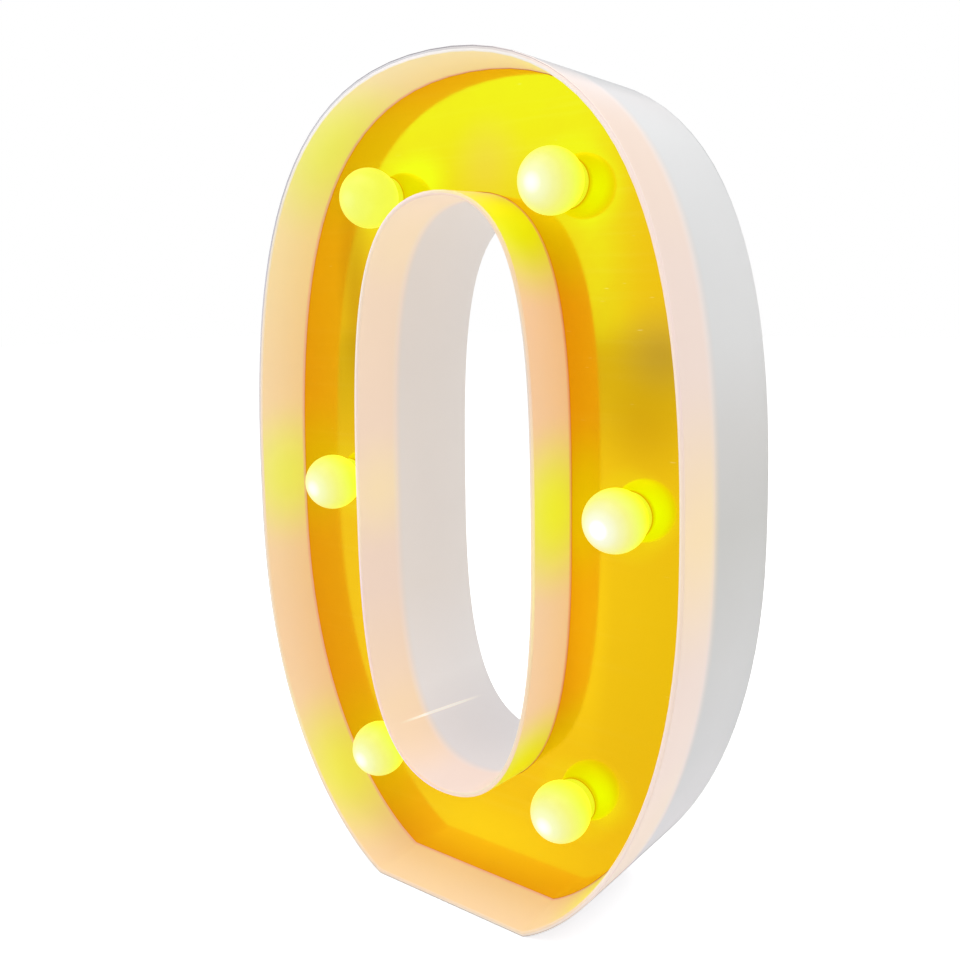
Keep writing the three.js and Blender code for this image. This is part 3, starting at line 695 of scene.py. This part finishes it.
def turned(x, z, rings, steps=48, name="turned"):
    """A round piece about a front-to-back axis, drawn back from ring to ring of radius and depth."""
    (first, front), (second, back) = rings[:2]
    bpy.ops.mesh.primitive_cone_add(
        vertices=steps,
        radius1=second * MM,
        radius2=first * MM,
        depth=(back - front) * MM,
        location=(x * MM, at_depth((front + back) / 2), z * MM),
        rotation=(radians(90), 0, 0),
    )
    piece = settle(bpy.context.object, name)
    select_faces(piece, lambda face: face.normal.y > 0.99)
    for (radius, depth), (next_radius, next_depth) in zip(rings[1:], rings[2:]):
        move = {"value": (0, (next_depth - depth) * MM, 0)}
        bpy.ops.mesh.extrude_region_move(TRANSFORM_OT_translate=move)
        grow = next_radius / radius
        bpy.ops.transform.resize(value=(grow, 1, grow), center_override=(x * MM, 0, z * MM))
    bpy.ops.object.mode_set(mode="OBJECT")
    return piece


def bar(x, z, radius, front, back):
    return turned(x, z, [(radius, front), (radius, back)])


def outline_edge(corners, inset, front, back):
    return sweep("edge", corners, [(inset, front), (inset, back)], closed=False)


def hole_edge(piece):
    """Only the sides of a solid, which are the edge of a hole of its shape through a plate."""
    select_faces(piece, lambda face: abs(face.normal.y) > 0.99)
    bpy.ops.mesh.delete(type="FACE")
    bpy.ops.object.mode_set(mode="OBJECT")
    return piece


def plate_from_edges(name, edges):
    """One closed plate from the bands that are its edges, filled at the front and the back."""
    select_only(*edges)
    bpy.ops.object.join()
    plate = bpy.context.object
    plate.name = plate.data.name = name
    clean_mesh(plate)
    depths = [vertex.co.y for vertex in plate.data.vertices]
    for y in (min(depths), max(depths)):
        bpy.ops.object.mode_set(mode="EDIT")
        bpy.ops.mesh.select_mode(type="VERT")
        bpy.ops.mesh.select_all(action="DESELECT")
        bpy.ops.object.mode_set(mode="OBJECT")
        for vertex in plate.data.vertices:
            vertex.select = abs(vertex.co.y - y) < 0.01 * MM
        bpy.ops.object.mode_set(mode="EDIT")
        bpy.ops.mesh.select_mode(type="EDGE")
        bpy.ops.mesh.fill(use_beauty=True)
        bpy.ops.object.mode_set(mode="OBJECT")
    clean_mesh(plate)
    return plate


mirror_edges = [
    outline_edge(outer_corners, mirror_inset, mirror_depth, mirror_back),
    outline_edge(opening_corners, opening_inset, mirror_depth, mirror_back),
]
mirror_edges += [
    hole_edge(bar(side * x, z, neck_hole, mirror_depth, mirror_back))
    for side in (1, -1)
    for x, z in globe_places
]
mirror = plate_from_edges("mirror_sheet", mirror_edges)
round_edges(mirror, 0.12, segments=1, angle=60)
smooth(mirror, 40)


def oval(tree, place, x, z, wide, tall, full):
    """Share of a soft oval on the sheet: full at its middle and none at its edge."""
    centred = {
        "Vector": place,
        "Location": (-x / wide, 0, -z / tall),
        "Scale": (1 / (wide * MM), 0, 1 / (tall * MM)),
    }
    reach = distance(tree, add_node(tree, "Mapping", centred)[0])
    return ranged(tree, reach, 0, 1, full, 0)


gold_mirror, tree, shader, place = new_finish("gold_mirror")
smear = mottle(tree, place, 34, 5, 0.6)
gold = blend_colour(tree, smear, linear(242, 199, 20), linear(238, 188, 24))
wiped = add_node(tree, "Mapping", {"Vector": place, "Rotation": (0, 0.1, 0), "Scale": (9, 1, 260)})[0]
wipe = ranged(tree, mottle(tree, wiped, 2, 3), 0.5, 0.75, 0, 0.16)
gold = blend_colour(tree, wipe, gold, linear(245, 206, 60))
for x, z, wide, tall, full, colour in gilding_tone_and_painted_light:
    gold = blend_colour(tree, oval(tree, place, x, z, wide, tall, full), gold, linear(*colour))
away = from_globe(tree, place)
# A painted lemon glow round each globe.
halo = ranged(tree, away, 11 * MM, 15 * MM, 0.15, 0)
gold = blend_colour(tree, halo, gold, linear(244, 240, 16))
# A painted shadow ring where each collar meets the mirror.
ring = ranged(tree, apart(tree, away, collar_shadow_ring * MM), 0.05 * MM, 0.14 * MM, 0.55, 0)
gold = blend_colour(tree, ring, gold, linear(226, 164, 16))
stretched = add_node(tree, "Mapping", {"Vector": place, "Scale": (110, 1, 900)})[0]
scratch = ranged(tree, mottle(tree, stretched, 2, 1), 0.73, 0.81, 0, 0.6)
high_up = ranged(tree, axes(tree, place)["Z"], 110 * MM, 145 * MM, 0.2, 1)
scratched = blend_colour(tree, product(tree, scratch, high_up), gold, linear(250, 224, 130))
tree.links.new(scratched, shader.inputs["Base Color"])
tree.links.new(ranged(tree, smear, 0, 1, 0.05, 0.16), shader.inputs["Roughness"])
shader.inputs["Metallic"].default_value = 1
coat(mirror, gold_mirror)
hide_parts("mirror_panel")
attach(mirror, "lamp")

# Globes
# Six frosted globes, each blown with a neck and a collar, pushed through the mirror and the floor
# from the front. The lamp inside throws forwards, so the front is whitest and the rest is lemon.
globe_radius = 7.75
globe_wall = 0.9
neck_radius = 5.202
collar_front = 14.38
collar_radius = 5.85
neck_end = 17.73
globe_nodes = {
    1: ("globe_top_right", "globe_side_right", "globe_bottom_right"),
    -1: ("globe_top_left", "globe_side_left", "globe_bottom_left"),
}
throw = Vector((-0.03, -1, -0.12)).normalized()
# The glow's colour, from straight away from the lamp's throw, at -1, to straight along it, at 1.
globe_glow = [
    (-1, (0.43, 0.64, 0.005)),
    (-0.3, (0.4, 0.6, 0.005)),
    (-0.05, (0.37, 0.5, 0.02)),
    (0.2, (0.36, 0.42, 0.055)),
    (0.55, (0.365, 0.37, 0.12)),
    (0.78, (0.37, 0.37, 0.22)),
    (0.94, (0.39, 0.4, 0.37)),
    (1, (0.48, 0.49, 0.7)),
]
glow_strength = 2
weaker_glow = (0.36, 0.39, 0.03, 1)
neck_glow = (0.345, 0.36, 0.003, 1)


def pull_rim(from_radius, to_radius, from_depth, to_depth, centre):
    """Draws the selected open rim on to a new radius and depth."""
    bpy.ops.mesh.extrude_edges_move(
        TRANSFORM_OT_translate={"value": (0, (to_depth - from_depth) * MM, 0)}
    )
    grow = to_radius / from_radius
    bpy.ops.transform.resize(value=(grow, 1, grow), center_override=centre)


first_x, first_z = globe_places[0]
centre = globe_middle(first_x, first_z)
bpy.ops.mesh.primitive_uv_sphere_add(
    segments=56, ring_count=36, radius=globe_radius * MM, location=centre, rotation=(radians(90), 0, 0)
)
first_globe = settle(bpy.context.object, "globe")
bpy.ops.object.mode_set(mode="EDIT")
bpy.ops.mesh.select_all(action="SELECT")
ball_end = globe_depth + (globe_radius**2 - neck_radius**2) ** 0.5
bpy.ops.mesh.bisect(
    plane_co=(0, at_depth(ball_end), 0), plane_no=(0, 1, 0), clear_outer=True, clear_inner=False
)
bpy.ops.mesh.select_mode(type="EDGE")
bpy.ops.mesh.select_all(action="DESELECT")
bpy.ops.mesh.select_non_manifold()
rings = [
    (neck_radius, ball_end), (neck_radius, collar_front), (collar_radius, collar_front),
    (collar_radius, mirror_depth), (neck_radius, mirror_depth), (neck_radius, neck_end),
]
for (from_radius, from_depth), (to_radius, to_depth) in zip(rings, rings[1:]):
    pull_rim(from_radius, to_radius, from_depth, to_depth, centre)
bpy.ops.object.mode_set(mode="OBJECT")
clean_mesh(first_globe, gap=0.000001)
select_only(first_globe)
bpy.ops.object.modifier_add(type="SOLIDIFY")
thickness = first_globe.modifiers[-1]
thickness.thickness = globe_wall * MM
thickness.offset = -1
bpy.ops.object.modifier_apply(modifier=thickness.name)
round_edges(first_globe, 0.15, angle=60)
smooth(first_globe, 50)

frosted_globe, tree, shader, place = new_finish("frosted_globe")
slope = add_node(tree, "NewGeometry")["Normal"]
facing = add_node(tree, "VectorMath", {0: slope, 1: throw}, operation="DOT_PRODUCT")["Value"]
along_throw = ranged(tree, facing, -1, 1, 0, 1, "LINEAR")
glow = colour_run(tree, along_throw, [((stand + 1) / 2, (*colour, 1)) for stand, colour in globe_glow])
brightest_x, brightest_z = globe_places[1]
from_brightest = distance(tree, place, globe_middle(brightest_x, brightest_z))
from_weakest = distance(tree, place, globe_middle(-first_x, first_z))
weaker = reckon(
    tree,
    "ADD",
    ranged(tree, from_brightest, 12 * MM, 100 * MM, 0, 0.35),
    ranged(tree, from_weakest, 12 * MM, 20 * MM, 0.55, 0),
)
skin = blend_colour(tree, weaker, glow, weaker_glow)
on_neck = ranged(tree, axes(tree, place)["Y"], at_depth(ball_end - 0.8), at_depth(ball_end), 0, 1)
skin = blend_colour(tree, on_neck, skin, neck_glow)
haze = ranged(tree, mottle(tree, place, 300, 3), 0, 1, 0, 0.06)
tree.links.new(blend_colour(tree, haze, skin, (0.5, 0.6, 0.2, 1)), shader.inputs["Emission Color"])
base = blend_colour(tree, haze, (0.2, 0.19, 0.01, 1), (0.3, 0.3, 0.06, 1))
tree.links.new(base, shader.inputs["Base Color"])
raise_grain(tree, shader, mottle(tree, place, 3000), strength=0.08, height=0.04)
shader.inputs["Emission Strength"].default_value = glow_strength
shader.inputs["Specular IOR Level"].default_value = 0.2
shader.inputs["Roughness"].default_value = 0.35
coat(first_globe, frosted_globe)


def copy_to(piece, name, offset):
    """A copy with its own mesh, its place moved in the mesh."""
    select_only(piece)
    bpy.ops.object.duplicate(linked=False)
    twin = bpy.context.object
    twin.location = offset
    return settle(twin, name)


for side, names in globe_nodes.items():
    for (x, z), node in zip(globe_places, names):
        offset = ((side * x - first_x) * MM, 0, (z - first_z) * MM)
        globe = copy_to(first_globe, "lit_" + node, offset)
        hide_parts(node)
        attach(globe, "lamp")
bpy.data.objects.remove(first_globe)

# LEDs and holders
# A round LED stands inside each globe on a white holder that is pushed in from behind. The resin
# is pale yellow and clear, and the two square legs are tinned steel.
plug_front = 14.98
led_resin, tree, shader, place = new_finish("led_resin")
is_leg = reckon(tree, "GREATER_THAN", axes(tree, place)["Y"], at_depth(plug_front + 0.02))
resin = blend_colour(tree, mottle(tree, place, 500), (1, 0.86, 0.35, 1), (1, 0.95, 0.55, 1))
led_colour = blend_colour(tree, is_leg, resin, (0.55, 0.55, 0.56, 1))
tree.links.new(led_colour, shader.inputs["Base Color"])
tree.links.new(is_leg, shader.inputs["Metallic"])
tree.links.new(resin, shader.inputs["Emission Color"])
tree.links.new(ranged(tree, is_leg, 0, 1, 1, 0, "LINEAR"), shader.inputs["Emission Strength"])
shader.inputs["Roughness"].default_value = 0.18
for names in globe_nodes.values():
    for node in names:
        coat(nodes[node.replace("globe", "led")], led_resin)
        coat(nodes[node.replace("globe", "led_holder")], inside_plastic)

# Back cover
# A flat moulded plate screwed to the posts, with a keyhole to hang the light by, a dip round the
# switch's slot and an opening for the battery door. Its face is matt, from a spark-eroded mould.
cover_front = 43.6
cover_back = 46
cover_inset = 1.9
cover_opening_inset = -0.3
overrun = 1
door_x = -47.45
door_width = 30.9
door_foot = 75.3
door_head = 135.4
door_gap = 0.3
pivot_z = 76.5
pivot_depth = 44.8
lug_dip_wider = 2.1
lug_dip_deep = 0.85
lug_dip_tall = 1.7
dip_depth = 1.2
finger_dip_radius = 6
switch_z = 62.1
switch_slot_wide = 4.6
switch_slot_tall = 9.6
switch_dip_wide = 8.6
switch_dip_tall = 13.6
keyhole_z = 200.16
keyhole_radius = 4.5
keyhole_rise = 9
keyhole_slot_radius = 2.5
screw_hole = 1.4
screw_sink = 2.8
sink_depth = 1.5
screw_places = [
    (58.022, 151.5), (21.214, 209.228), (28.89, 11.305), (54.771, 53.214),
    (-58.022, 151.5), (-21.214, 209.228), (-28.89, 11.305), (-54.771, 53.214),
]


def block(x, width, front, back, z, tall, name="block"):
    bpy.ops.mesh.primitive_cube_add(
        size=1,
        location=(x * MM, at_depth((front + back) / 2), z * MM),
        scale=(width * MM, (back - front) * MM, tall * MM),
    )
    return settle(bpy.context.object, name)


def combine(piece, tools, operation):
    """Cuts the tools out of a piece, or joins them to it, one after the other."""
    for tool in tools:
        select_only(piece)
        bpy.ops.object.modifier_add(type="BOOLEAN")
        cut = piece.modifiers[-1]
        cut.operation = operation
        cut.solver = "EXACT"
        cut.object = tool
        bpy.ops.object.modifier_apply(modifier=cut.name)
        bpy.data.objects.remove(tool)
    return piece


under, over = cover_front - overrun, cover_back + overrun
dip_floor = cover_back - dip_depth
door_middle = (door_foot + door_head) / 2
door_hole_wide = door_width + 2 * door_gap
door_hole_tall = door_head - door_foot + 2 * door_gap
keyhole_slot = [
    block(0, 2 * keyhole_slot_radius, cover_front, cover_back, keyhole_z + keyhole_rise / 2, keyhole_rise),
    bar(0, keyhole_z + keyhole_rise, keyhole_slot_radius, cover_front, cover_back),
]
keyhole = combine(bar(0, keyhole_z, keyhole_radius, cover_front, cover_back), keyhole_slot, "UNION")
sink = [(screw_hole, cover_front), (screw_hole, cover_back - sink_depth), (screw_sink, cover_back)]
cover_edges = [
    outline_edge(outer_corners, cover_inset, cover_front, cover_back),
    outline_edge(opening_corners, cover_opening_inset, cover_front, cover_back),
    hole_edge(block(door_x, door_hole_wide, cover_front, cover_back, door_middle, door_hole_tall)),
    hole_edge(block(door_x, switch_slot_wide, cover_front, cover_back, switch_z, switch_slot_tall)),
    hole_edge(keyhole),
]
cover_edges += [hole_edge(turned(x, z, sink, steps=32)) for x, z in screw_places]
cover = plate_from_edges("cover_plate", cover_edges)
dips = [
    block(door_x, door_width + lug_dip_wider, under, pivot_depth + lug_dip_deep, pivot_z, lug_dip_tall),
    bar(door_x, door_head, finger_dip_radius, dip_floor, over),
    block(door_x, switch_dip_wide, dip_floor, over, switch_z, switch_dip_tall),
]
combine(cover, dips, "DIFFERENCE")
round_edges(cover, 0.18)
smooth(cover)

matt_plastic, tree, shader, place = new_finish("matt_plastic")
cloud = mottle(tree, place, 18, 4)
cover_colour = blend_colour(tree, cloud, linear(233, 233, 232), linear(222, 222, 223))
tree.links.new(cover_colour, shader.inputs["Base Color"])
tree.links.new(ranged(tree, cloud, 0, 1, 0.5, 0.62), shader.inputs["Roughness"])
raise_grain(tree, shader, mottle(tree, place, 1500, 3, 0.7), strength=0.22, height=0.06)
coat(cover, matt_plastic)
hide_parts("back_cover")
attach(cover, "lamp")

# Cover screws
# Eight zinc-plated steel screws with flat cross-recess heads, 5.2 mm across, sunk flush in the
# cover. The recess is cold-punched, and the head's edge is slightly broken.
head_radius = 2.6
shank_radius = 1
screw_tip = (0.1, 35.5)
shank_start = 36.5
recess_slots = ((2.8, 0.6), (0.6, 2.8))
recess_deep = 0.7
cone_tip_radius = 0.3
cone_mouth_radius = 0.95
cone_deep = 0.9
zinc_steel, tree, shader, place = new_finish("zinc_steel")
spangle = add_node(tree, "TexVoronoi", {"Vector": place, "Scale": 900})["Distance"]
steel_colour = blend_colour(tree, spangle, linear(196, 198, 202), linear(168, 170, 176))
tree.links.new(steel_colour, shader.inputs["Base Color"])
tree.links.new(ranged(tree, spangle, 0, 1, 0.25, 0.42), shader.inputs["Roughness"])
shader.inputs["Metallic"].default_value = 1
screw_x, screw_z = screw_places[0]
screw_rings = [
    screw_tip,
    (shank_radius, shank_start),
    (shank_radius, cover_back - sink_depth),
    (head_radius, cover_back),
]
screw = turned(screw_x, screw_z, screw_rings, steps=40, name="cover_screw")
recess = [block(screw_x, wide, cover_back - recess_deep, over, screw_z, tall) for wide, tall in recess_slots]
cone = [(cone_tip_radius, cover_back - cone_deep), (cone_mouth_radius, over)]
recess.append(turned(screw_x, screw_z, cone, steps=24))
combine(screw, recess, "DIFFERENCE")
round_edges(screw, 0.08)
smooth(screw)
coat(screw, zinc_steel)
for number, (x, z) in enumerate(screw_places, 1):
    twin = copy_to(screw, f"zinc_screw_{number}", ((x - screw_x) * MM, 0, (z - screw_z) * MM))
    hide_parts(f"cover_screw_{number}")
    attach(twin, "lamp")
bpy.data.objects.remove(screw)

# Battery tray, cells and contacts
# The tray is moulded in white, with the spring contacts pressed into its ends. Two AA cells lie in
# it side by side, one up and one down, in printed film sleeves over plated steel cans.
cell_radius = 7.25
cell_body = 50.5 - 1.2
cell_depth = 36.05
cell_rounding = 0.25
bare_end_radius = 6.7
button_end = [(0.93, 0), (1, -0.25), (0.42, 0), (0.95, 1.45)]
flat_end = [(0.9, 0), (1, -0.2)]
outer_band_top = 91
inner_band_foot = 117
cells = {"battery_cell_outer": (-54.85, 126.85, -1), "battery_cell_inner": (-40.05, 80.95, 1)}
coat(nodes["battery_tray"], inside_plastic)
for node in ("contact_positive", "contact_negative", "contact_bridge"):
    coat(nodes[node], zinc_steel)
cell_sleeve, tree, shader, place = new_finish("cell_sleeve")
split = axes(tree, place)
film = mottle(tree, place, 120, 3)
green = blend_colour(tree, film, linear(46, 116, 66), linear(38, 100, 58))
is_outer = reckon(tree, "LESS_THAN", split["X"], door_x * MM)
band_outer = reckon(tree, "LESS_THAN", split["Z"], outer_band_top * MM)
band_inner = reckon(tree, "GREATER_THAN", split["Z"], inner_band_foot * MM)
banded = ranged(tree, is_outer, 0, 1, band_inner, band_outer, "LINEAR")
sleeve = blend_colour(tree, banded, green, linear(196, 152, 70))
tree.links.new(sleeve, shader.inputs["Base Color"])
tree.links.new(ranged(tree, banded, 0, 1, 0.1, 0.8, "LINEAR"), shader.inputs["Metallic"])
tree.links.new(ranged(tree, film, 0, 1, 0.25, 0.38), shader.inputs["Roughness"])
for node, (x, flat_z, upwards) in cells.items():
    centre = (x * MM, at_depth(cell_depth), 0)
    bpy.ops.mesh.primitive_cylinder_add(
        vertices=56,
        radius=cell_radius * MM,
        depth=cell_body * MM,
        location=(centre[0], centre[1], (flat_z + upwards * cell_body / 2) * MM),
    )
    cell = settle(bpy.context.object, "sleeved_" + node)
    for end, steps in ((upwards, button_end), (-upwards, flat_end)):
        select_faces(cell, lambda face: face.normal.z * end > 0.9)
        for grow, rise in steps:
            bpy.ops.mesh.extrude_region_move(TRANSFORM_OT_translate={"value": (0, 0, end * rise * MM)})
            bpy.ops.transform.resize(value=(grow, grow, 1), center_override=centre)
        bpy.ops.object.mode_set(mode="OBJECT")
    clean_mesh(cell)
    round_edges(cell, cell_rounding)
    smooth(cell)
    cell.data.materials.append(cell_sleeve)
    cell.data.materials.append(zinc_steel)
    for face in cell.data.polygons:
        away = Vector((face.center.x - centre[0], face.center.y - centre[1])).length
        face.material_index = 1 if away < bare_end_radius * MM else 0
    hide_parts(node)
    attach(cell, "lamp")

# Battery door
# A flat door moulded like the cover, which turns on two lugs at its foot and snaps shut with a
# tongue at its head. Four grooves near the head give the finger a grip.
lug_reach = 0.9
barrel_radius = 1.2
lug_radius = 0.7
tongue_wide = 10
tongue_front = 38.6
tongue_z = 134.4
top_groove = 132
groove_pitch = 2.2
groove_wide = 14
groove_deep = 0.6
groove_tall = 1.1
door_tall = door_head - pivot_z
door_centre = pivot_z + door_tall / 2
door = block(door_x, door_width, cover_front, cover_back, door_centre, door_tall, name="door_panel")


def cross_bar(length, radius, steps):
    bpy.ops.mesh.primitive_cylinder_add(
        vertices=steps,
        radius=radius * MM,
        depth=length * MM,
        location=(door_x * MM, at_depth(pivot_depth), pivot_z * MM),
        rotation=(0, radians(90), 0),
    )
    return settle(bpy.context.object, "cross_bar")


tongue = block(door_x, tongue_wide, tongue_front, pivot_depth, tongue_z, 1)
barrel = cross_bar(door_width, barrel_radius, 40)
lugs = cross_bar(door_width + 2 * lug_reach, lug_radius, 24)
combine(door, [barrel, lugs, tongue], "UNION")
groove_heights = [top_groove - groove_pitch * step for step in range(4)]
grooves = [block(door_x, groove_wide, cover_back - groove_deep, over, z, groove_tall) for z in groove_heights]
combine(door, grooves, "DIFFERENCE")
round_edges(door, 0.2)
smooth(door)
coat(door, matt_plastic)
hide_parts("battery_door")
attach(door, "door")

# Slide switch
# A small switch in a pressed steel can, with a brown paper-resin base and three pins. Its black
# knob slides in the cover's dip, and is ridged so that a fingertip holds it.
knob_z = switch_z + 2
carriage_wide = 4.8
carriage_back = 42.95
knob_wide = 4
knob_tall = 5
knob_front = 42
knob_back = 45.7
gap_floor = 45.3
ridge_pitch = 1.25
ridge_gap = 0.62
for node in ("switch_frame", "switch_screw_1", "switch_screw_2"):
    coat(nodes[node], zinc_steel)
phenolic, tree, shader, place = new_finish("phenolic_board")
brown = blend_colour(tree, mottle(tree, place, 800, 4), linear(120, 74, 38), linear(92, 54, 30))
tree.links.new(brown, shader.inputs["Base Color"])
shader.inputs["Roughness"].default_value = 0.6
coat(nodes["switch_base"], phenolic)
lowest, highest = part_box("switch_slider")
carriage_tall = (highest.z - lowest.z) / MM
carriage_front = lowest.y / MM + half_depth
slider = block(
    door_x, carriage_wide, carriage_front, carriage_back, knob_z, carriage_tall, name="ridged_slider"
)
combine(slider, [block(door_x, knob_wide, knob_front, knob_back, knob_z, knob_tall)], "UNION")
gap_heights = [knob_z + step * ridge_pitch for step in (-1, 0, 1)]
gaps = [block(door_x, knob_wide + 1, gap_floor, over, z, ridge_gap) for z in gap_heights]
combine(slider, gaps, "DIFFERENCE")
round_edges(slider, 0.12)
smooth(slider)
black_plastic, tree, shader, place = new_finish("black_plastic")
grain = mottle(tree, place, 1800)
black = blend_colour(tree, grain, linear(34, 34, 36), linear(24, 24, 26))
tree.links.new(black, shader.inputs["Base Color"])
raise_grain(tree, shader, grain, strength=0.2, height=0.04)
shader.inputs["Roughness"].default_value = 0.48
coat(slider, black_plastic)
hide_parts("switch_slider")
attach(slider, "slider")

# Leads
# Thin stranded wires in red and black sleeves, soldered from the tray and the switch to the LEDs'
# legs. They run behind the floor, inside the shell.


def wire_sleeve(name, first, second):
    finish, tree, shader, place = new_finish(name)
    scuff = mottle(tree, place, 400, 3)
    tree.links.new(blend_colour(tree, scuff, linear(*first), linear(*second)), shader.inputs["Base Color"])
    tree.links.new(ranged(tree, scuff, 0, 1, 0.35, 0.5), shader.inputs["Roughness"])
    return finish


red_sleeve = wire_sleeve("red_sleeve", (186, 36, 30), (160, 28, 26))
black_sleeve = wire_sleeve("black_sleeve", (38, 38, 40), (26, 26, 28))
coat(nodes["lead_positive"], red_sleeve)
coat(nodes["lead_switch"], red_sleeve)
coat(nodes["lead_negative"], black_sleeve)
